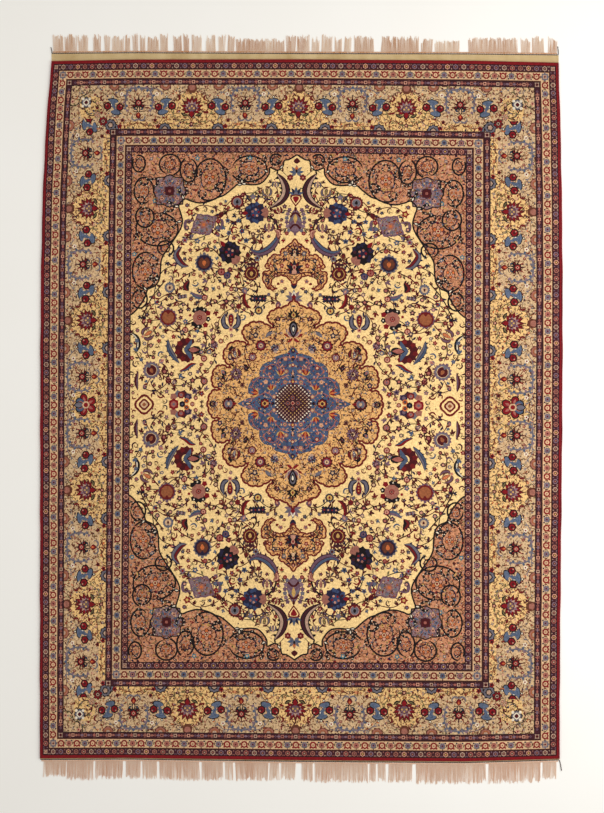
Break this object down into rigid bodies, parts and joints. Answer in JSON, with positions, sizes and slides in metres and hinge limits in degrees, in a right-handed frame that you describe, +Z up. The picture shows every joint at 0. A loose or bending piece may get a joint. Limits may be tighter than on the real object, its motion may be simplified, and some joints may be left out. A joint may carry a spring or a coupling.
{
  "type": "persian rug",
  "caption": "Hand-knotted medallion carpet of wool lying flat, with corded sides, flat-woven ends, a dark twined yarn and cotton fringe.",
  "frame": {"origin": "on the floor under the centre of the carpet's bounding box, fringe included", "axes": "+X across the carpet, +Y along its length towards the end with the wide flat-woven web, +Z up out of the pile"},
  "size_m": [2.6189, 3.7617, 0.01],
  "materials": {
    "wool_pile": "knotted wool pile, matt with a soft sheen",
    "red_wool": "overcast wool yarn, matt",
    "web_cotton": "flat-woven cotton, matt",
    "twine_wool": "twined dark wool yarn, matt",
    "fringe_cotton": "plied cotton strands, matt"
  },
  "bodies": {
    "root": {"pile": "wool_pile", "selvedge_left": "red_wool", "selvedge_right": "red_wool", "web_far": "web_cotton", "web_near": "web_cotton", "twine_far": "twine_wool", "twine_near": "twine_wool", "fringe_far": "fringe_cotton", "fringe_near": "fringe_cotton"}
  },
  "joints": []
}
